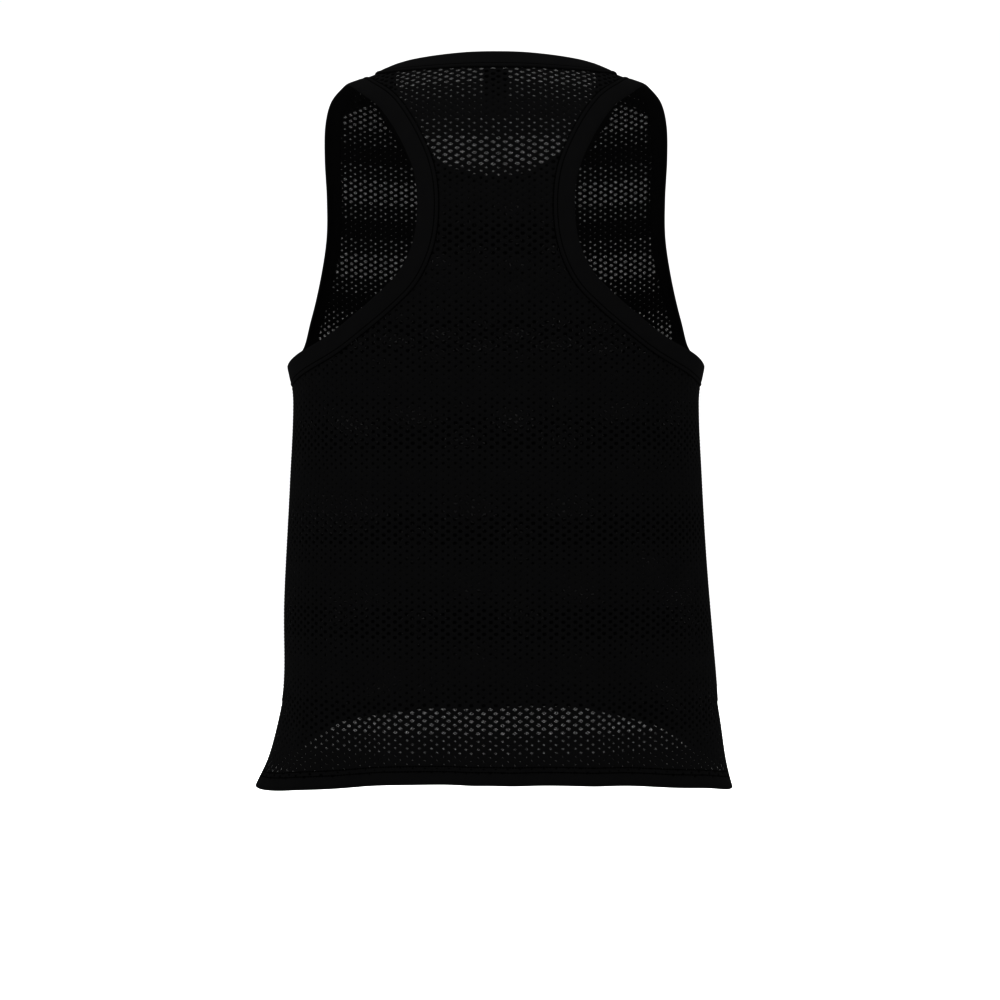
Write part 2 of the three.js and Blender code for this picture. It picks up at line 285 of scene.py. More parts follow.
class Net:
    """Panel cloth laid over the figure without stretching along its middle and its rows."""

    def __init__(self, side):
        self.turn = turn = 1 if side == "back" else -1
        self.u = np.arange(0, SIDE_REACH + 1, NET_ACROSS)
        angle = np.linspace(0, ROW_TURN, ROW_FINE)
        around = np.sin(np.minimum(angle, math.pi - angle)) ** (2 / OBLONG_POWER)
        z = np.full(angle.shape, float(WAIST))
        ahead = angle < math.pi / 2
        back = ahead if side == "back" else ~ahead
        depth = depth_at(z, back) * np.cos(angle) * turn
        row = self.respace(columns(half_width(z, back) * around, depth, z))
        down = [row]
        for _ in range(int(NET_DOWN / NET_STEP)):
            down.append(self.next_row(down[-1], -NET_STEP))
        up = [row]
        for k in range(int(NET_UP / NET_STEP)):
            above = up[-1]
            if k * NET_STEP >= NARROW_ABOVE[side]:
                above = above[: int(STRAP_REACH / NET_ACROSS) + 1]
            up.append(self.next_row(above, NET_STEP))
        rows = down[:0:-1] + up
        self.low = -(len(down) - 1) * NET_STEP
        self.grid = np.full((len(rows), len(self.u), 3), np.nan)
        for j, one in enumerate(rows):
            self.grid[j, : len(one)] = one

    def respace(self, row):
        """The row's points moved to even distances from the middle, along the row."""
        end = row[-1] + (row[-1] - row[-2]) * ROW_OVERSHOOT / np.linalg.norm(row[-1] - row[-2])
        want = self.u[: len(row)]
        row = np.vstack([row, end])
        return settle(points_at(want, run_along(row), row))

    def next_row(self, row, step):
        along = np.gradient(row, axis=0)
        along[0] = (1, 0, 0)
        up = unit(np.cross(along, outward(row)) * self.turn)
        moved = settle(row + step * up)
        moved[0, 0] = 0
        return self.respace(moved)

    def bare(self, u, v):
        """Points of the figure at (u, v), between the net's knots."""
        across = np.abs(u) / NET_ACROSS
        up = (v - self.low) / NET_STEP
        i = np.clip(np.floor(across).astype(int), 0, self.grid.shape[1] - 2)
        j = np.clip(np.floor(up).astype(int), 0, self.grid.shape[0] - 2)
        s, t = (across - i)[..., None], (up - j)[..., None]
        g = self.grid
        below, above = g[j, i] * (1 - s) + g[j, i + 1] * s, g[j + 1, i] * (1 - s) + g[j + 1, i + 1] * s
        p = below * (1 - t) + above * t
        p[..., 0] *= np.where(u < 0, -1, 1)
        return p

    def place(self, u, v):
        return self.own_side(settle(self.own_side(self.bare(u, v)), turns=3))

    def own_side(self, p):
        """Points below the armholes kept on the panel's own side of the side seams."""
        x, y, z = p[..., 0], p[..., 1], p[..., 2]
        kept = self.turn * np.maximum(self.turn * y, SEAM_CLEAR)
        return columns(x, np.where(z < UNDERARM, kept, y), z)

    def find(self, points):
        """(u, v) of points of the figure whose x is not below 0."""
        flat = self.grid.reshape(-1, 3)
        nearest = [np.nanargmin(((flat - p) ** 2).sum(1)) for p in points]
        j, i = np.divmod(nearest, self.grid.shape[1])
        uv = columns(i * NET_ACROSS, self.low + j * NET_STEP)
        for _ in range(FIND_TURNS):
            here = self.bare(*uv.T)
            across = (self.bare(uv[:, 0] + FIND_STEP, uv[:, 1]) - here) / FIND_STEP
            up = (self.bare(uv[:, 0], uv[:, 1] + FIND_STEP) - here) / FIND_STEP
            gap = points - here
            aa, ab, bb = (across**2).sum(1), (across * up).sum(1), (up**2).sum(1)
            ga, gb = (gap * across).sum(1), (gap * up).sum(1)
            det = aa * bb - ab * ab
            uv[:, 0] += (ga * bb - gb * ab) / det
            uv[:, 1] += (gb * aa - ga * ab) / det
            uv[:, 0] = np.maximum(uv[:, 0], 0)
        return uv


# ---- Edges ----


def smooth_loop(points, fine):
    """A closed centripetal curve through the points, with `fine` steps from each to the next."""
    n, out = len(points), []
    t = np.arange(fine)[:, None] / fine
    for i in range(n):
        p0, p1, p2, p3 = points[i - 1], points[i], points[(i + 1) % n], points[(i + 2) % n]
        d0, d1, d2 = [math.sqrt(np.linalg.norm(b - a)) for a, b in ((p0, p1), (p1, p2), (p2, p3))]
        m1 = ((p1 - p0) / d0 - (p2 - p0) / (d0 + d1) + (p2 - p1) / d1) * d1
        m2 = ((p2 - p1) / d1 - (p3 - p1) / (d1 + d2) + (p3 - p2) / d2) * d1
        start, start_slope, end, end_slope = smooth_step(t)
        out.append(start * p1 + start_slope * m1 + end * p2 + end_slope * m2)
    return np.vstack(out)


def evenly(points, spacing):
    """Points of an open line at even distances, near `spacing`."""
    run = run_along(points)
    return points_at(np.linspace(0, run[-1], max(2, round(run[-1] / spacing) + 1)), run, points)


def mirrored(line):
    """A line on the body's other side, run the other way."""
    return (line * (-1, 1, 1))[::-1]


FINE = 40
EDGE_SPACING = 3.5
INSET_STEP = 5


def edge_points(table):
    return np.array([on_figure(side, x, z) for side, rows in table.items() for x, z in rows])


def armhole_loop():
    """The left armhole's edge, from under the arm up the back; and its shoulder seam's place in it."""
    dense = smooth_loop(edge_points(ARMHOLE_EDGE), FINE)
    dense = np.vstack([dense, dense[:1]])
    cut = round(ARMHOLE_SHOULDER * FINE)
    over, down = evenly(dense[: cut + 1], EDGE_SPACING), evenly(dense[cut:], EDGE_SPACING)
    return settle(np.vstack([over, down[1:-1]])), len(over) - 1


def neck_loop():
    """The neck's edge, from the back's middle round the left; and the places in it of the left shoulder
    seam and the front's middle."""
    left = edge_points(NECK_EDGE)
    dense = smooth_loop(np.vstack([left, mirrored(left[1:-1])]), FINE)
    shoulder, front = NECK_SHOULDER * FINE, (len(left) - 1) * FINE
    a, b = evenly(dense[: shoulder + 1], EDGE_SPACING), evenly(dense[shoulder : front + 1], EDGE_SPACING)
    half = np.vstack([a, b[1:]])
    return settle(np.vstack([half, mirrored(half[1:-1])])), len(a) - 1, len(half) - 1


def across_loop(points, turn):
    """The way from a loop into the cloth, square to the loop, at each of its points."""
    along = unit(np.roll(points, -1, axis=0) - np.roll(points, 1, axis=0))
    return unit(np.cross(outward(points), along) * turn)


def inset(points, width, turn):
    """A loop's points moved along the cloth, square to the loop."""
    across = across_loop(points, turn)
    steps = max(1, math.ceil(np.abs(width).max() / INSET_STEP))
    step = np.broadcast_to(np.asarray(width, float) / steps, len(points))[:, None]
    moved = points
    for _ in range(steps):
        moved = settle(moved + across * step, turns=3)
    return moved


# The front's armhole bands roll in towards the body: the greatest turn, how far forward it is reached, the
# heights that it grows between, and the share of the roll's width that the edge keeps seen from the front
ROLL_TURN, NO_ROLL = 0.6, 0.0001
ROLL_AHEAD = -32
ROLL_LOW, ROLL_HIGH = -268, -228
ROLL_KEPT_OUT, ROLL_LEAST_ACROSS = 0.62, 0.5


def roll_of(edge):
    """The angle that a band turns in by at each point of its edge."""
    ahead = np.clip(edge[:, 1] / ROLL_AHEAD, 0, 1)
    above = np.clip((edge[:, 2] - ROLL_LOW) / (ROLL_HIGH - ROLL_LOW), 0, 1)
    share = ahead * above
    return np.maximum(ROLL_TURN * share**2 * (3 - 2 * share), NO_ROLL)


# The hems are not quite level: where, half width and height of each swell
HEM_WAVES = {
    "back": [(96, 40, 1.2), (-22, 30, -0.8), (-145, 40, 1.6), (-215, 38, 2.6)],
    "front": [(-70, 50, 1.6), (40, 40, -1.5), (165, 40, 1.8)],
}


def hem_wave(u, side):
    return sum(rise * np.exp(-(((u - at) / width) ** 2)) for at, width, rise in HEM_WAVES[side])


def hem_height(x, side):
    middle, drop, reach, power = HEMS[side]
    return middle - drop * (np.abs(x) / reach) ** power


# ---- Making pieces ----

def show(name, data, place=(0, 0, 0), turn=(0, 0, 0)):
    """An object in the scene."""
    thing = bpy.data.objects.new(name, data)
    thing.location, thing.rotation_euler = place, turn
    scene.collection.objects.link(thing)
    return thing


def new_object(name, points, faces, material):
    mesh = bpy.data.meshes.new(name)
    mesh.from_pydata(points, [], faces)
    mesh.materials.append(material)
    return show(name, mesh)


def make_piece(name, points, faces, material, node=None, slot=None, uv=None, flat=slice(0)):
    """A mesh piece that rides on the vest, from points in millimetres."""
    piece = new_object(name, (np.asarray(points) * MM).tolist(), faces, material)
    mesh = piece.data
    smooth = np.ones(len(mesh.polygons), bool)
    smooth[flat] = False
    mesh.polygons.foreach_set("use_smooth", smooth)
    if uv is not None:
        corner = np.zeros(len(mesh.loops), np.int32)
        mesh.loops.foreach_get("vertex_index", corner)
        layer = mesh.uv_layers.new(name="cloth")
        layer.data.foreach_set("uv", (np.asarray(uv)[corner] * MM).ravel())
    mesh.update()
    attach(piece, "root")
    if node:
        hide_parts(node)
    return piece


def tube_faces(rows, sides, ring):
    """Quads round a tube of `rows` sections with `sides` points each, and flat ends unless it is a ring."""
    faces = []
    for r in range(rows if ring else rows - 1):
        below, above = r * sides, (r + 1) % rows * sides
        for k in range(sides):
            n = (k + 1) % sides
            faces.append((below + k, below + n, above + n, above + k))
    if not ring:
        faces.append(tuple(range(sides))[::-1])
        faces.append(tuple((rows - 1) * sides + k for k in range(sides)))
    return faces


def turned_out(points, faces):
    """The faces of a closed shape, turned round if they look inwards."""
    fans = np.array([(face[0], *face[k : k + 2]) for face in faces for k in range(1, len(face) - 1)])
    a, b, c = np.moveaxis(points[fans], 1, 0)
    return faces if (a * np.cross(b, c)).sum() > 0 else [face[::-1] for face in faces]


def tube(name, lines, ring, material, **what):
    """A tube with the lines along it, one for each point of its section."""
    grid = np.stack(lines, axis=1)
    points = grid.reshape(-1, 3)
    faces = turned_out(points, tube_faces(*grid.shape[:2], ring))
    return make_piece(name, points, faces, material, **what)


def grid_uv(rows, across):
    """Cloth places of a grid's points, from those of its rows and those across it."""
    return columns(rows[:, None], across[None, :]).reshape(-1, 2)


# ---- Materials ----

# Depth of the knit's relief, how far its ribs lean from row to row, and how strong the rows are
RELIEF_DEEP = 0.12 * MM
RIB_LEAN, ROW_SHARE = 0.9, 0.45


def fill(tree, made, inputs):
    """A node's inputs set to values, or joined to other nodes."""
    for socket, value in inputs.items():
        if isinstance(value, bpy.types.NodeSocket):
            tree.links.new(value, made.inputs[socket])
        else:
            made.inputs[socket].default_value = value


def node(tree, kind, inputs, **settings):
    made = tree.nodes.new(kind)
    for key, value in settings.items():
        setattr(made, key, value)
    fill(tree, made, inputs)
    return made


def new_material(name):
    material = bpy.data.materials.new(name)
    material.use_nodes = True
    return material, material.node_tree, material.node_tree.nodes["Principled BSDF"]


def cloth_material(name, dark, light, wale, course, relief=0.0, roughness=0.9, sheen=0.0, gloss=0.05):
    """Knitted cloth: loops of wale by course millimetres as relief, and a slightly uneven colour."""
    material, tree, shader = new_material(name)

    def maths(operation, a, b=0.0):
        return node(tree, "ShaderNodeMath", {0: a, 1: b}, operation=operation).outputs[0]

    place = node(tree, "ShaderNodeUVMap", {}, uv_map="cloth").outputs[0]
    split = node(tree, "ShaderNodeSeparateXYZ", {0: place})
    across = maths("MULTIPLY", split.outputs[0], 2 * math.pi / (wale * MM))
    up = maths("MULTIPLY", split.outputs[1], 2 * math.pi / (course * MM))
    lean = maths("MULTIPLY", maths("SINE", up), RIB_LEAN)
    ribs = maths("SINE", maths("ADD", across, lean))
    loops = maths("MULTIPLY", maths("SINE", maths("MULTIPLY", up, 0.5)), ROW_SHARE)
    height = maths("ADD", ribs, loops)
    bump = node(tree, "ShaderNodeBump", {"Height": height, "Strength": relief, "Distance": RELIEF_DEEP})
    spread = node(
        tree, "ShaderNodeTexNoise", {"Vector": place, "Scale": 55.0, "Detail": 3.0, "Roughness": 0.6}
    )
    mixed = {"Factor": spread.outputs[0], 6: (*dark, 1), 7: (*light, 1)}
    colour = node(tree, "ShaderNodeMix", mixed, data_type="RGBA")
    fill(tree, shader, {
        "Base Color": colour.outputs[2], "Normal": bump.outputs[0], "Roughness": roughness,
        "Specular IOR Level": gloss, "Sheen Weight": sheen, "Sheen Roughness": 0.45,
    })
    return material


mesh_knit = cloth_material(
    "mesh_knit", (0.0168, 0.0168, 0.0176), (0.0225, 0.0225, 0.0235), 1.0, 0.8, relief=0.5, gloss=0.06
)
band_knit = cloth_material(
    "band_knit", (0.018, 0.018, 0.0188), (0.0235, 0.0235, 0.0245), 0.9, 0.7, relief=0.4, gloss=0.06
)
# The eyelets' fine threads: black yarn, painted darker than the cloth for the shade that falls on them
# inside the eyelets
fine_thread_painted_shade = cloth_material("fine_thread_painted_shade", (0.004, 0.004, 0.0043), (0.006, 0.006, 0.0063), 0.3, 0.3)
# Sewing thread: black, and painted darker still for the shade in the grooves that the stitches sink into
sewing_thread_painted_groove_shade = cloth_material(
    "sewing_thread_painted_groove_shade", (0.002, 0.002, 0.002), (0.003, 0.003, 0.003), 0.3, 0.3, roughness=0.8
)
label_tape = cloth_material(
    "label_tape", (0.012, 0.012, 0.013), (0.016, 0.016, 0.017), 0.35, 0.5, relief=0.3, roughness=0.6,
    sheen=0.03, gloss=0.3,
)

# ---- Eyelet mesh ----

# Width of a column of eyelets, and the first one's place, at heights up the panel
PITCH = {"back": ((-30, 400), (11.2, 11.2)), "front": ((240, 330), (11.3, 11.0))}
FIRST_COLUMN = {"back": ((-30, 400), (5.1, 2.65)), "front": ((240, 330), (1.55, 0.0))}
ODD_SHIFT = 0.56
# Width and height of the eyelets, and how many half rows of each size follow one another
LARGE, MIDDLE, SMALL = (4.4, 3.0), (2.8, 2.1), (1.5, 1.1)
BANDING = [LARGE] * 8 + [MIDDLE] * 5 + [SMALL] * 6 + [MIDDLE] * 5
LARGE_CENTRE = 3.5
# Height of a half row at heights up the panel
ROWS = {
    "back": [(-60, 3.63), (60, 3.66), (180, 3.72), (360, 3.74), (460, 3.67), (500, 3.7)],
    "front": [(200, 3.75), (300, 3.15)],
}
# A place (z, x) in the middle of a band of large eyelets, and the heights that rows are counted between
BAND_PLACE = {"back": (-617.4, 0), "front": (-173, 135)}
ROW_RANGE = (-180, 720)
CLOTH_LOW, CLOTH_HIGH = 0.78, 1.0
# How far the cloth runs on inside the bands, and how far past its edges faces are made before the cut
SEAM_TUCK = 3.5
EDGE_REACH, TOP_REACH, ROW_MARGIN = 30, 12, 8
# The eyelets that start this close to the hem's edge are closed
HEM_CLOSED = 10.0
# Where the side seam (z), hem (x) and shoulder seam (x) are worked out: from, to and how many points
SEAM_LINE, HEM_LINE, SHOULDER_LINE = (-716, -292, 90), (0, 236, 80), (76, 190, 40)
CORNER_CLEAR, FLAT_POINTS = 0.5, 60
FAR_SIDE, FAR_DROP, NO_LIMIT = 300, 3, 1e9
ON_EDGE, LEAST_AREA = 0.01, 0.02
# The shoulder seam on the front: x and z of its end at the neck, and how far it drops over how much width
SHOULDER_NECK, SHOULDER_TOP, SHOULDER_DROP, SHOULDER_ACROSS = 99, -3, 25, 68.5
# An eyelet's corners, as shares of its width and height
CORNERS = np.array([(0.5, 0), (0.25, 0.5), (-0.25, 0.5), (-0.5, 0), (-0.25, -0.5), (0.25, -0.5)])


def in_polygon(points, polygon):
    inside = np.zeros(len(points), bool)
    x, y = points[:, 0], points[:, 1]
    for (x1, y1), (x2, y2) in zip(polygon, np.roll(polygon, -1, axis=0)):
        if y1 == y2:
            continue
        crosses = ((y1 > y) != (y2 > y)) & (x < (x2 - x1) * (y - y1) / (y2 - y1) + x1)
        inside ^= crosses
    return inside


class Panel:
    """One panel's cut: where its net is, and its edges in (u, v)."""

    def __init__(self, side, armhole_line, neck_line, armhole_under, neck_under):
        """The lines run from under the arm, and from the neck's middle, to the shoulder seam; the `under`
        ones are where the cloth really ends, inside the bands."""
        self.side = side
        self.net = Net(side)
        find = self.net.find
        z, back = np.linspace(*SEAM_LINE), side == "back"
        self.seam_u, self.seam_v = find(columns(half_width(z, back), 0, z)).T
        x = np.linspace(*HEM_LINE)
        x = x[x < half_width(hem_height(x, side), back) - CORNER_CLEAR]
        hem = find(on_figure(side, x, hem_height(x, side)))
        self.hem_u, self.hem_v = np.vstack([hem, (FAR_SIDE, hem[-1, 1] - FAR_DROP)]).T
        x = np.linspace(*SHOULDER_LINE)
        self.shoulder_u, self.shoulder_v = find(on_figure("front", x, shoulder_height(x))).T
        self.armhole, self.neck = find(armhole_line), find(neck_line)
        armhole_in, neck_in = find(armhole_under), find(neck_under)
        self.neck_level = self.neck[0, 1]
        top = armhole_in[-1] + (0, TOP_REACH), neck_in[-1] + (0, TOP_REACH)
        self.keep = np.vstack([
            (-EDGE_REACH, self.hem_v[0] - EDGE_REACH),
            columns(self.hem_u, self.hem_v - EDGE_REACH),
            (self.side_at(armhole_in[0, 1]) + EDGE_REACH, armhole_in[0, 1]),
            armhole_in,
            *top,
            neck_in[::-1],
            (-EDGE_REACH, neck_in[0, 1]),
        ])

    def side_at(self, v):
        return np.interp(v, self.seam_v, self.seam_u)

    def hem_at(self, u):
        return np.interp(np.abs(u), self.hem_u, self.hem_v) + hem_wave(u, self.side)

    def shoulder_at(self, u):
        return np.interp(np.abs(u), self.shoulder_u, self.shoulder_v)

    def is_inside(self, u, v):
        low = v > self.hem_at(u) + ON_EDGE
        beside = np.abs(u) < self.side_at(v) - ON_EDGE
        under = (v < self.neck_level) | (v < self.shoulder_at(u) - ON_EDGE)
        return low & under & (beside | (v > self.seam_v[-1]))

    def between_sides(self, u, v):
        limit = np.where(v > self.seam_v[-1], NO_LIMIT, self.side_at(v))
        return np.clip(u, -limit, limit)

    def clamp(self, u, v):
        """Places outside the cut brought to its edges."""
        u = self.between_sides(u, v)
        v = np.maximum(v, self.hem_at(u))
        u = self.between_sides(u, v)
        return u, np.where(v > self.neck_level, np.minimum(v, self.shoulder_at(u)), v)

    def flat(self):
        """(width, length, area) of the whole cut in metres, from the outline of its half."""
        side_v = np.linspace(self.hem_at(self.side_at(self.hem_v[-1])), self.armhole[0, 1], FLAT_POINTS)
        u, v = np.vstack([
            columns(self.hem_u[:-1], self.hem_v[:-1]),
            columns(self.side_at(side_v), side_v),
            self.armhole,
            self.neck[::-1],
        ]).T
        area = abs((u * np.roll(v, -1) - np.roll(u, -1) * v).sum())
        return 2 * u.max() * MM, (v.max() - v.min()) * MM, area * MM * MM


def shoulder_height(x):
    return SHOULDER_TOP - (x - SHOULDER_NECK) * SHOULDER_DROP / SHOULDER_ACROSS


def row_numbers(side, net):
    """Heights v of the half rows, and their numbers in the banding."""
    z, x = BAND_PLACE[side]
    middle = net.find(on_figure(side, [float(x)], [float(z)]))[0, 1]
    v = np.arange(*ROW_RANGE, 1.0)
    pitch = np.interp(v, *zip(*ROWS[side]))
    count = np.concatenate([[0], np.cumsum(1 / pitch[:-1])])
    count += LARGE_CENTRE - np.interp(middle, v, count)
    numbers = np.arange(math.ceil(count[0]), math.floor(count[-1]))
    return np.interp(numbers, count, v), numbers


# Pulled cloth opens the eyelets or draws them in a little, towards the back's hem and neck: heights, and
# the share of their size that they have there
EYELET_SWELL = {
    "back": ((-110, -97, -90, -75, -40, 10, 380, 430), (1.12, 1.12, 1, 0.95, 0.95, 1, 1, 1.08)),
    "front": ((0, 1), (1, 1)),
}

# The back's rows sag a little between the shoulder blades: where, half width and half height, and how far
ROW_SAG = (470, 40, 44, 4.2)
FOLD_STEP = 4.0


def onto_net(panel, u, v):
    """Net places of cloth places in rows: folds take up cloth, so it reaches less far across the net."""
    across = np.arange(-SIDE_REACH + 1, SIDE_REACH, FOLD_STEP)
    bare = panel.net.bare(*np.broadcast_arrays(across, v[:, :1]))
    height = np.nan_to_num(crease_height(np.nan_to_num(bare)))
    slope = np.diff(height, axis=1) / FOLD_STEP
    run = np.zeros(height.shape)
    run[:, 1:] = np.cumsum(np.sqrt(1 + slope**2) * FOLD_STEP, axis=1)
    out = np.empty_like(u)
    for k in range(len(u)):
        middle = np.interp(0, across, run[k])
        out[k] = np.interp(u[k], run[k] - middle, across)
    if panel.side == "back":
        at, half_wide, half_high, depth = ROW_SAG
        v = v - depth * np.exp(-((out / half_wide) ** 2) - ((v - at) / half_high) ** 2)
    return out, v


def eyelet_panel(panel):
    """A panel of cloth cut through by its eyelets; and the eyelets' places, sizes and stretch."""
    side = panel.side
    heights, numbers = row_numbers(side, panel.net)
    low, high = panel.keep[:, 1].min(), panel.keep[:, 1].max()
    used = (heights > low - ROW_MARGIN) & (heights < high + ROW_MARGIN)
    heights, numbers = heights[used], numbers[used]
    pitch, first, swell = [
        np.interp(heights, *table[side])[:, None] for table in (PITCH, FIRST_COLUMN, EYELET_SWELL)
    ]
    reach = math.ceil(SIDE_REACH / pitch.min())
    count = np.arange(-reach, reach + 1)
    odd = numbers % 2 == 1
    u0 = (count[None, :] + np.where(odd, ODD_SHIFT, 0)[:, None]) * pitch + first
    v0 = np.broadcast_to(heights[:, None], u0.shape)
    size = np.array(BANDING)[numbers % len(BANDING)]
    corner = CORNERS[None, None] * size[:, None, None, :]
    before, after = onto_net(panel, u0 - 1, v0)[0], onto_net(panel, u0 + 1, v0)[0]
    stretch = columns(swell * (after - before) / 2, swell)
    u0, v0 = onto_net(panel, u0, v0)
    u = u0[..., None] + corner[..., 0] * stretch[..., :1]
    v = v0[..., None] + corner[..., 1] * stretch[..., 1:]
    index = np.arange(u.size).reshape(u.shape)
    corners = np.moveaxis(index, -1, 0)
    a, up, beside = corners[:, :-2, 1:-1], corners[:, 2:, 1:-1], corners[:, 1:-1, 1:-1]
    odd_rows = odd[:-2, None]
    right = np.where(odd_rows, corners[:, 1:-1, 2:], beside)
    left = np.where(odd_rows, beside, corners[:, 1:-1, :-2])
    quads = [(a[1], up[5], up[4], a[2]), (a[0], right[4], right[3], a[1]), (a[3], a[2], left[0], left[5])]
    triangles = [(a[1], right[3], up[5]), (a[2], up[4], left[0])]
    quads = np.concatenate([columns(*q).reshape(-1, 4) for q in quads])
    triangles = np.concatenate([columns(*t).reshape(-1, 3) for t in triangles])
    flat_u, flat_v = u.ravel(), v.ravel()
    inside = panel.is_inside(flat_u, flat_v)
    # Eyelets that the edge crosses, and those in the folded hem, are closed by two quads each
    part = inside.reshape(u.shape)
    in_hem = v0 < panel.hem_at(u0) + HEM_CLOSED
    crossed = part.any(-1) & (in_hem | ~part.all(-1))
    c = index[crossed]
    caps = np.concatenate([c[:, [0, 1, 2, 3]], c[:, [3, 4, 5, 0]]])
    cut_u, cut_v = panel.clamp(flat_u, flat_v)
    kept = []
    for group in (quads, triangles, caps):
        centre = columns(np.abs(flat_u[group]).mean(1), flat_v[group].mean(1))
        x, y = cut_u[group], cut_v[group]
        area = 0.5 * (x * np.roll(y, -1, axis=1) - np.roll(x, -1, axis=1) * y).sum(1)
        wanted = in_polygon(centre, panel.keep) & inside[group].any(1) & (area > LEAST_AREA)
        kept.extend(group[wanted].tolist())
    used = np.unique([k for face in kept for k in face])
    uv = columns(cut_u[used], cut_v[used])
    bare = panel.net.place(*uv.T)
    normal, rise = outward(bare), crease_height(bare)
    points = np.vstack([bare + normal * (high + rise)[:, None] for high in (CLOTH_HIGH, CLOTH_LOW)])
    n = len(used)
    outer = [tuple(np.searchsorted(used, face).tolist()) for face in kept]
    if side == "back":
        outer = [face[::-1] for face in outer]
    directed = {(face[k], face[(k + 1) % len(face)]) for face in outer for k in range(len(face))}
    rims = sorted((p, q) for p, q in directed if (q, p) not in directed)
    inner = [tuple(k + n for k in face[::-1]) for face in outer]
    walls = [(q, p, p + n, q + n) for p, q in rims]
    piece = make_piece(
        f"{side}_mesh", points, outer + inner + walls, mesh_knit, node=f"{side}_panel", slot="mesh_knit",
        uv=np.vstack([uv, uv]), flat=slice(len(outer + inner), None),
    )
    whole = part.all(-1) & ~in_hem
    places = columns(u0[whole], v0[whole])
    shown = in_polygon(columns(np.abs(places[:, 0]), places[:, 1]), panel.keep)
    sizes = np.broadcast_to(size[:, None], stretch.shape)[whole]
    return piece, places[shown], sizes[shown], stretch[whole][shown]


# Fine threads slant across each eyelet: how many an eyelet of each size has, and the share of it that
# they cover
BRIDGES = {
    "back": {LARGE: (6, 0.81), MIDDLE: (4, 0.84), SMALL: (2, 0.85)},
    "front": {LARGE: (6, 0.78), MIDDLE: (4, 0.78), SMALL: (2, 0.78)},
}
# How much more of the eyelets the threads cover, at heights up the panel
BRIDGE_EXTRA = {
    "back": ((30, 60, 380, 430, 560), (0.025, 0, 0, -0.012, -0.022)),
    "front": ((465, 500), (0, 0.028)),
}
# The way that they slant, the cloth heights of their edges and of their middles, and their tuck at each end
BRIDGE_SLANT = {"back": math.radians(38), "front": math.radians(-35)}
BRIDGE_HIGH, BRIDGE_LOW = 0.93, 0.87
BRIDGE_TUCK = 0.1


def bridge_ends(size, way, square, offset):
    """Where a line along `way`, `offset` from an eyelet's middle, leaves the eyelet."""
    corners = CORNERS * size
    low, high = -math.inf, math.inf
    for a, b in zip(corners, np.roll(corners, -1, axis=0)):
        normal = np.array([b[1] - a[1], a[0] - b[0]])
        speed, room = normal @ way, normal @ (a - square * offset)
        if speed > 0:
            high = min(high, room / speed)
        elif speed < 0:
            low = max(low, room / speed)
    return low, high


def eyelet_bridges(panel, places, sizes, stretch):
    parts = []
    slant = BRIDGE_SLANT[panel.side]
    way = np.array([math.cos(slant), math.sin(slant)])
    square = np.array([-way[1], way[0]])
    for size, (count, cover) in BRIDGES[panel.side].items():
        wanted = np.isclose(sizes[:, 0], size[0])
        here, share = places[wanted], stretch[wanted]
        across = 2 * np.abs(CORNERS * size @ square).max()
        pitch = across / count
        half = pitch / 2 * (cover + np.interp(here[:, 1], *BRIDGE_EXTRA[panel.side]))[:, None]
        for k in range(count):
            offset = (k + 0.5 - count / 2) * pitch
            low, high = bridge_ends(size, way, square, offset)
            corners = [
                way * end + square * (offset + side * half)
                for end in (low - BRIDGE_TUCK, high + BRIDGE_TUCK)
                for side in (-1, 1, 0)
            ]
            parts.append((here[:, None] + np.stack(corners, axis=1) * share[:, None]).reshape(-1, 2))
    uv = np.vstack(parts)
    heights = np.tile([BRIDGE_HIGH, BRIDGE_HIGH, BRIDGE_LOW], len(uv) // 3)
    points = lift(panel.net.place(*uv.T), heights)
    faces = []
    for k in range(0, len(points), 6):
        a, b, c, d, e, f = range(k, k + 6)
        faces += [(a, d, e, b), (b, e, f, c), (c, f, d, a)]
    if panel.side == "back":
        faces = [face[::-1] for face in faces]
    return make_piece(
        f"{panel.side}_eyelet_bridges", points, faces, fine_thread_painted_shade, slot="mesh_knit", uv=uv
    )


# ---- The vest ----


class Band:
    """A folded strip round an edge of the cloth: the edge's points, the way that they turn, the strip's
    width, and the angle that it rolls in by at each point."""

    def __init__(self, edge, turn, width, roll):
        self.edge, self.turn, self.width, self.roll = edge, turn, width, roll

    def base(self, s):
        """The figure's points under the line `s` in from the edge, how far below them the strip is rolled,
        and its angle there."""
        radius = self.width / self.roll
        here = self.roll * max(0, 1 - s / self.width)
        depth = radius * (1 - np.cos(here))
        whole = radius * (1 - np.cos(self.roll))
        sideways = np.maximum(np.abs(across_loop(self.edge, self.turn)[:, 0]), ROLL_LEAST_ACROSS)
        kept_out = ROLL_KEPT_OUT * whole * np.abs(outward(self.edge)[:, 0]) / sideways
        moved = radius * (np.sin(self.roll) - np.sin(here)) + max(0, s - self.width) - kept_out
        return inset(self.edge, moved, self.turn), depth, here

    def line(self, s, height):
        """Points `s` in from the edge and `height` over the cloth, and the way out of it there."""
        base, depth, here = self.base(s)
        normal, into = outward(base), across_loop(base, self.turn)
        ups = normal * np.cos(here)[:, None] - into * np.sin(here)[:, None]
        return base + normal * (crease_height(base) - depth)[:, None] + ups * height, ups

    def strip(self, name, node_name, fuller=0.0):
        lines, across = [], []
        for k, (s, h) in enumerate(BAND_SECTION):
            shown = k < BAND_OUTER
            lines.append(self.line(s * self.width / ARMHOLE_BAND, h + fuller * shown)[0])
            across.append(s if shown else -s)
        uv = grid_uv(run_along(self.edge), np.array(across))
        return tube(name, lines, True, band_knit, uv=uv, node=node_name, slot="band_knit")

    def stitches(self, name, rows):
        lines = [self.line(s, height) for s, height in rows]
        return stitch_piece(name, [stitch_row(line, ups, 0, closed=True) for line, ups in lines])

    def middle_run(self):
        """The length of the strip's middle line."""
        loop = inset(self.edge, self.width / 2, self.turn)
        return np.linalg.norm(loop - np.roll(loop, 1, axis=0), axis=1).sum()


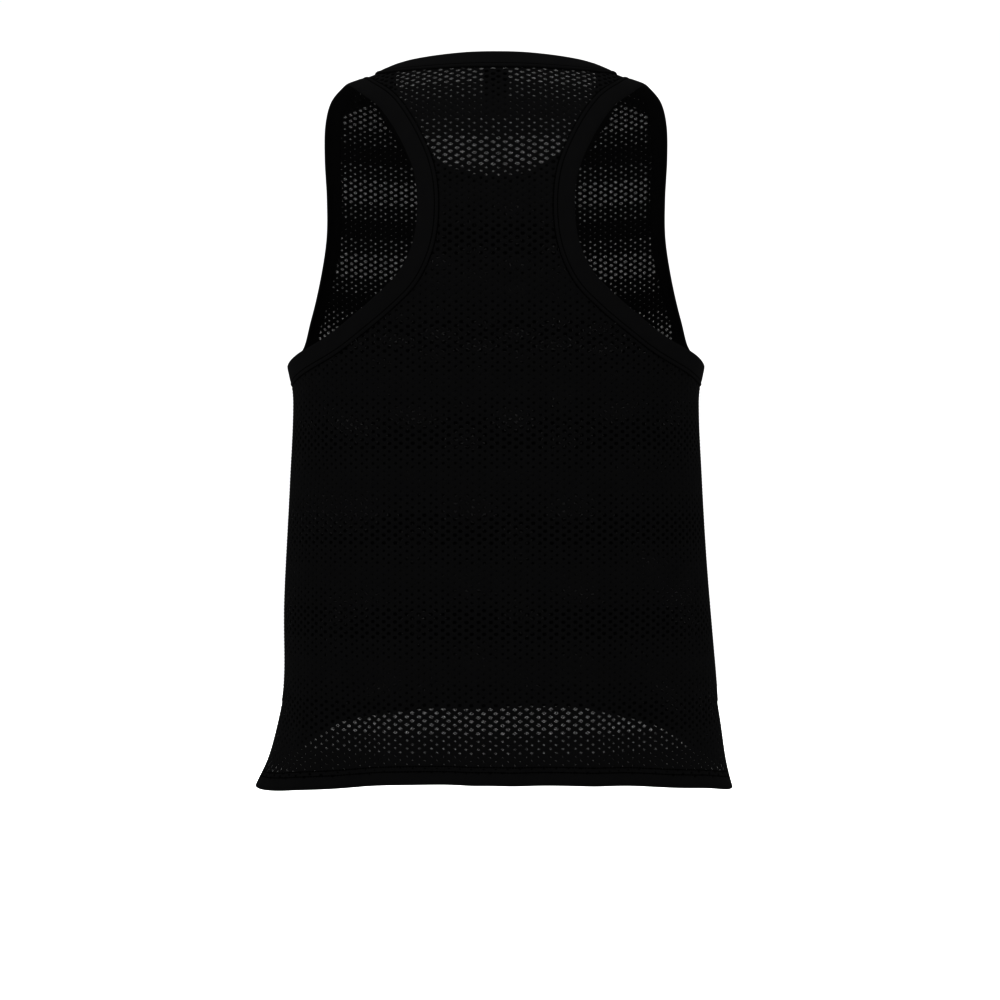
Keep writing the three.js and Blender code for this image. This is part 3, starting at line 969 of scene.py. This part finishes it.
armhole, armhole_shoulder = armhole_loop()
neck, neck_shoulder, neck_front = neck_loop()
armhole_roll = roll_of(armhole)
left = Band(armhole, -1, ARMHOLE_BAND, armhole_roll)
right = Band(mirrored(armhole), -1, ARMHOLE_BAND, armhole_roll[::-1])
collar = Band(neck, 1, NECK_BAND, np.full(len(neck), NO_ROLL))
armhole_seam, armhole_under = left.base(ARMHOLE_BAND)[0], left.base(ARMHOLE_BAND - SEAM_TUCK)[0]
neck_seam, neck_under = inset(neck, NECK_BAND, 1), inset(neck, NECK_BAND - SEAM_TUCK, 1)


def edge_parts(armhole_line, neck_line):
    """Each panel's parts of the two edges, up to the shoulder seam."""
    front = np.vstack([armhole_line[:1], armhole_line[armhole_shoulder:][::-1]])
    return {
        "back": (armhole_line[: armhole_shoulder + 1], neck_line[: neck_shoulder + 1]),
        "front": (front, neck_line[neck_shoulder : neck_front + 1][::-1]),
    }


seam_parts, under_parts = edge_parts(armhole_seam, neck_seam), edge_parts(armhole_under, neck_under)
panels = {side: Panel(side, *seam_parts[side], *under_parts[side]) for side in ("back", "front")}

# The panels' cloth, and the pieces that go with each
cloth, sewn_to = {}, {"back": [], "front": []}
for side, panel in panels.items():
    cloth[side], *eyelets = eyelet_panel(panel)
    sewn_to[side].append(eyelet_bridges(panel, *eyelets))

# Bands: the section of a folded strip as wide as the armhole's, as (distance from the edge, height): a
# full edge, a hollow where a row of stitches draws it in, a ridge and a step down at its seam; then how
# many of these show, and how much fuller the neck's strip is
BAND_SECTION = [
    (0, 1.2), (0.3, 1.9), (1.1, 2.45), (3.2, 2.7), (6, 2.65), (9, 2.5), (12, 2.4), (14.4, 2.2),
    (15.6, 1.9), (16.4, 1.65), (17.2, 1.9), (18.2, 2.3), (19.3, 2.05), (20, 1.35),
    (20, 0.7), (19.2, 0.2), (13, 0.1), (8, 0.1), (3.5, 0.1), (1.1, 0.15), (0.3, 0.5),
]
BAND_OUTER = 14
NECK_FULLER = 0.8

left_band = left.strip("armhole_binding_left", "armhole_band_left")
right_band = right.strip("armhole_binding_right", "armhole_band_right")
neck_binding = collar.strip("neck_binding", "neck_band", NECK_FULLER)

# Hem folds: the turned-up layer inside and the rounded fold, as (distance up from the edge, height)
HEM_SECTION = [
    (1.2, 1.25), (0.3, 1.35), (-0.5, 1.0), (-0.8, 0.2), (-0.4, -0.6), (1.0, -0.9), (6, -0.8), (11, -0.7),
    (16.2, -0.7), (16.6, -0.2), (16.2, 0.45), (11, 0.5), (6, 0.5), (1.2, 0.5),
]
HEM_SHORT, HEM_POINTS = 0.3, 181


def cloth_strip(name, section, line_at, along, upright=True, knit=mesh_knit, slot="mesh_knit", node=None):
    """A strip of cloth: `line_at` gives the figure's points under each place of its section."""
    lines = [lift(line_at(s), h) for s, h in section]
    uv = grid_uv(along, np.array([s for s, _ in section]))
    uv = uv[:, ::-1] if upright else uv
    return tube(name, lines, False, knit, uv=uv, slot=slot, node=node)


def hem_fold(panel):
    end = panel.side_at(panel.hem_v[-2]) - HEM_SHORT
    u = np.linspace(-end, end, HEM_POINTS)

    def line_at(s):
        v = panel.hem_at(u) + s
        limit = panel.side_at(v) - HEM_SHORT
        return panel.net.place(np.clip(u, -limit, limit), v)

    return cloth_strip(f"{panel.side}_hem_fold", HEM_SECTION, line_at, u, upright=False)


for side, panel in panels.items():
    sewn_to[side].append(hem_fold(panel))

# ---- Label ----

LABEL_WIDTH, LABEL_LENGTH, LABEL_ROWS = 24, 48, 10
LABEL_OUTSIDE, LABEL_INSIDE = -1.15, -2.0
label_edge = LABEL_WIDTH // 2
label_top = neck_seam[0, 2]
label_ring = [
    (-label_edge, LABEL_OUTSIDE), (label_edge, LABEL_OUTSIDE),
    (label_edge, LABEL_INSIDE), (-label_edge, LABEL_INSIDE),
]
label_z = np.linspace(label_top, label_top - LABEL_LENGTH, LABEL_ROWS)
label = cloth_strip(
    "blank_label", label_ring, lambda x: on_figure("back", x, label_z), np.arange(LABEL_ROWS),
    knit=label_tape, slot="label_tape", node="neck_label",
)

# ---- Slit edges: each panel's edge is turned in below the end of the side seam ----

SLIT_FOLD = [
    (0.7, 1.25), (0.3, 1.2), (0.1, 0.8), (0.1, 0.1), (0.3, -0.5), (1.0, -0.75), (4, -0.7), (7.6, -0.65),
    (8.0, -0.2), (7.6, 0.45), (4, 0.5), (0.6, 0.5),
]
SLIT_POINTS, SLIT_START = 31, 1.0


def slit_line(panel, way, s):
    """Places of the cloth `s` in from one slit edge, from the hem up to the side seam's end."""
    seam_z = panel.net.bare(panel.seam_u, panel.seam_v)[:, 2]
    top = np.interp(SLIT_TOP, seam_z, panel.seam_v)
    low = panel.hem_at(way * panel.hem_u[-2]) + SLIT_START
    v = np.linspace(low, top, SLIT_POINTS)
    return way * (panel.side_at(v) - s), v


def slit_fold(panel, way):
    name = f"{panel.side}_slit_fold_{'left' if way > 0 else 'right'}"
    v = slit_line(panel, way, 0)[1]
    return cloth_strip(name, SLIT_FOLD, lambda s: panel.net.place(*slit_line(panel, way, s)), v)


for side, panel in panels.items():
    sewn_to[side] += [slit_fold(panel, way) for way in (1, -1)]

# ---- Seams: flat strips of overlapped cloth ----

SEAM_SECTION = [
    (-3.2, 1.0), (-2.9, 1.4), (-1.2, 1.65), (0, 1.5), (1.2, 1.65), (2.9, 1.4), (3.2, 1.0), (2.9, 0.85),
    (-2.9, 0.85),
]
# The side seam's heights and number of points, and how far behind the middle it lies
SIDE_SEAM, SIDE_SEAM_BACK, SHOULDER_POINTS = (-613, -304, 80), 0.01, 24


def beside_line(line, s):
    """A line's points moved `s` along the cloth, square to the line."""
    across = unit(np.cross(outward(line), unit(np.gradient(line, axis=0))))
    return settle(line + across * np.asarray(s)[..., None], turns=3)


def seam_strip(name, line):
    return cloth_strip(name, SEAM_SECTION, lambda s: beside_line(line, s), run_along(line))


z = np.linspace(*SIDE_SEAM)
side_line = columns(half_width(z, True), SIDE_SEAM_BACK, z)
neck_side, armhole_side = neck_seam[neck_shoulder], armhole_seam[armhole_shoulder]
share = np.linspace(0, 1, SHOULDER_POINTS)[:, None]
shoulder_line = settle(neck_side + (armhole_side - neck_side) * share)
seam_lines = {}
for name, line in (("side_seam", side_line), ("shoulder_seam", shoulder_line)):
    seam_lines[f"{name}_left"], seam_lines[f"{name}_right"] = line, mirrored(line)
sewn_to["back"] += [seam_strip(name, line) for name, line in seam_lines.items()]

# ---- Stitches ----

STITCH, STITCH_GAP = 2.6, 0.35
STITCH_WIDE, STITCH_HIGH = 0.6, 0.28
ZIGZAG_WIDE, ZIGZAG_HIGH = 0.22, 0.2
# A stitch's sections, as (share of its length, share of its thickness); each has four points
STITCH_SHAPE = [(0.0, 0.35), (0.2, 1.0), (0.8, 1.0), (1.0, 0.35)]
STITCH_FACES = tube_faces(len(STITCH_SHAPE), 4, False)


def lozenges(starts, ends, ups, wide, high):
    """Small flat threads from the starts to the ends."""
    side = unit(np.cross(unit(ends - starts), ups))
    points = []
    for t, share in STITCH_SHAPE:
        centre, out, up = starts + (ends - starts) * t, side * wide * share, ups * high * share
        points += [centre + out, centre + up, centre - out, centre - up]
    return np.stack(points, axis=1)


def stitch_row(line, ups, height, closed=False):
    """Stitches along a line of points raised off the cloth."""
    raised = line + ups * height
    if closed:
        raised, ups = np.vstack([raised, raised[:1]]), np.vstack([ups, ups[:1]])
    run = run_along(raised)
    count = int(run[-1] / (STITCH + STITCH_GAP))
    starts = np.arange(count) * run[-1] / count
    first, last = points_at(starts, run, raised), points_at(starts + STITCH, run, raised)
    middle_ups = unit(points_at(starts + STITCH / 2, run, ups))
    return lozenges(first, last, middle_ups, STITCH_WIDE, STITCH_HIGH)


def stitch_piece(name, rows):
    blocks = np.vstack(rows)
    faces = []
    one = turned_out(blocks[0], STITCH_FACES)
    for k in range(len(blocks)):
        faces.extend(tuple(k * blocks.shape[1] + corner for corner in face) for face in one)
    return make_piece(name, blocks.reshape(-1, 3), faces, sewing_thread_painted_groove_shade)


def cloth_line(line):
    """A line on the figure moved out by the folds, and the way out of the cloth there."""
    return lift(line, 0), outward(line)


# Rows of stitches: how far in from the edge, and for bands the height over the cloth too
HEM_ROWS, SLIT_ROW = (11.3, 16.0), 6.6
HEM_ROW_SHORT, HEM_ROW_POINTS = 1.5, 400
HEM_STITCH_HEIGHT = 1.1
# The second row of each band runs on the panel just past its seam: it is stitching, and its dark thread
# also stands in for the shade in the groove between band and panel
ARMHOLE_ROWS = ((16.4, 1.75), (20.5, 1.15))
NECK_ROWS = ((18.9, 2.55), (23.6, 1.15))


def cloth_stitches(panel, u, v):
    """Stitches along places of a panel's cloth."""
    return stitch_row(*cloth_line(panel.net.place(u, v)), HEM_STITCH_HEIGHT)


def hem_row(panel, s):
    end = panel.side_at(panel.hem_v[-2] + s) - HEM_ROW_SHORT
    u = np.linspace(-end, end, HEM_ROW_POINTS)
    return cloth_stitches(panel, u, panel.hem_at(u) + s)


for side, panel in panels.items():
    hem_rows = [hem_row(panel, s) for s in HEM_ROWS]
    slit_rows = [cloth_stitches(panel, *slit_line(panel, way, SLIT_ROW)) for way in (1, -1)]
    for name, rows in (("hem", hem_rows), ("slit", slit_rows)):
        sewn_to[side].append(stitch_piece(f"{side}_{name}_stitches", rows))

left_stitches = left.stitches("armhole_stitches_left", ARMHOLE_ROWS)
right_stitches = right.stitches("armhole_stitches_right", ARMHOLE_ROWS)
neck_stitches = collar.stitches("neck_stitches", NECK_ROWS)

# The zigzag over a seam: half its width, its step along the seam, its height, and the seam's fine steps
SEAM_ZIGZAG, SEAM_STEP, SEAM_HEIGHT, SEAM_FINE = 2.3, 1.7, 1.7, 1.2


def zigzag(line):
    """A thread that runs from one side of a seam to the other and back."""
    every = evenly(settle(evenly(line, SEAM_FINE), turns=2), SEAM_STEP)
    sides = np.where(np.arange(len(every)) % 2 == 0, SEAM_ZIGZAG, -SEAM_ZIGZAG)
    raised, ups = cloth_line(beside_line(every, sides))
    raised = raised + ups * SEAM_HEIGHT
    return lozenges(raised[:-1], raised[1:], ups[:-1], ZIGZAG_WIDE, ZIGZAG_HIGH)


for name, line in seam_lines.items():
    sewn_to["back"].append(stitch_piece(f"{name}_stitches", [zigzag(line)]))

LABEL_ROW_HALF, LABEL_ROW_DOWN, LABEL_ROW_POINTS, LABEL_ROW_HEIGHT = 10.5, 2.5, 20, 0.1
label_x = np.linspace(-LABEL_ROW_HALF, LABEL_ROW_HALF, LABEL_ROW_POINTS)
label_line = on_figure("back", label_x, label_top - LABEL_ROW_DOWN)
label_row = stitch_row(lift(label_line, LABEL_INSIDE), -outward(label_line), LABEL_ROW_HEIGHT)
label_stitches = stitch_piece("label_stitches", [label_row])

# ---- Stage: a pale floor at a standing wearer's feet, and a white room ----

FLOOR_HEIGHT, FLOOR_REACH, FLOOR_SIDES = -1.45, 9.0, 64
FLOOR_GLOW, ROOM_LIGHT = 0.45, 1.02
FLOOR_COLOUR, WHITE = (0.85, 0.85, 0.85, 1), (1, 1, 1, 1)


floor_points = [(0, 0, FLOOR_HEIGHT)]
for k in range(FLOOR_SIDES):
    turn = 2 * math.pi * k / FLOOR_SIDES
    floor_points.append((FLOOR_REACH * math.cos(turn), FLOOR_REACH * math.sin(turn), FLOOR_HEIGHT))
floor_faces = [(0, 1 + k, 1 + (k + 1) % FLOOR_SIDES) for k in range(FLOOR_SIDES)]
paint, tree, shader = new_material("floor")
fill(tree, shader, {
    "Base Color": FLOOR_COLOUR, "Roughness": 0.9, "Emission Color": WHITE,
    "Emission Strength": FLOOR_GLOW,
})
floor = new_object("floor", floor_points, floor_faces, paint)

world = bpy.data.worlds.new("room")
scene.world = world
world.use_nodes = True
background = world.node_tree.nodes["Background"]
fill(world.node_tree, background, {"Color": WHITE, "Strength": ROOM_LIGHT})


def softbox(name, place, target, size, power):
    light = bpy.data.lights.new(name, "AREA")
    light.shape, light.energy = "RECTANGLE", power
    light.size, light.size_y = size
    turn = Vector(np.array(target) - np.array(place)).to_track_quat("-Z", "Y").to_euler()
    show(name, light, place, turn).visible_camera = False


softbox("key_light", (0.9, 1.8, 1.2), (0, 0, -0.3), (1.4, 1.4), 10)
softbox("top_light", (0, 0.7, 2.3), (0, 0, 0), (1.6, 1.6), 30)

# ---- Camera ----

# Behind the vest and level with its lower half
CAMERA_PLACE, CAMERA_TURN = (0, 1.923, -0.415), (math.pi / 2, 0, math.pi)
LENS, SENSOR, SHIFT, CLIP = 70.2, 36, 0.004, (0.05, 50)

camera = bpy.data.cameras.new("camera")
camera.lens, camera.sensor_width, camera.shift_x = LENS, SENSOR, SHIFT
camera.clip_start, camera.clip_end = CLIP
scene.camera = show("camera", camera, CAMERA_PLACE, CAMERA_TURN)
scene.view_settings.view_transform = "Standard"
scene.view_settings.gamma = 0.5

# ---- Each panel's flat size and each band's width and length, worked out ----

for side, piece in cloth.items():
    (width, length, area), along = panels[side].flat(), sewn_to[side]
    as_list(along)
for piece, stitches, band in (
    (left_band, left_stitches, left),
    (right_band, right_stitches, right),
    (neck_binding, neck_stitches, collar),
):
    width, run = band.width, band.middle_run()
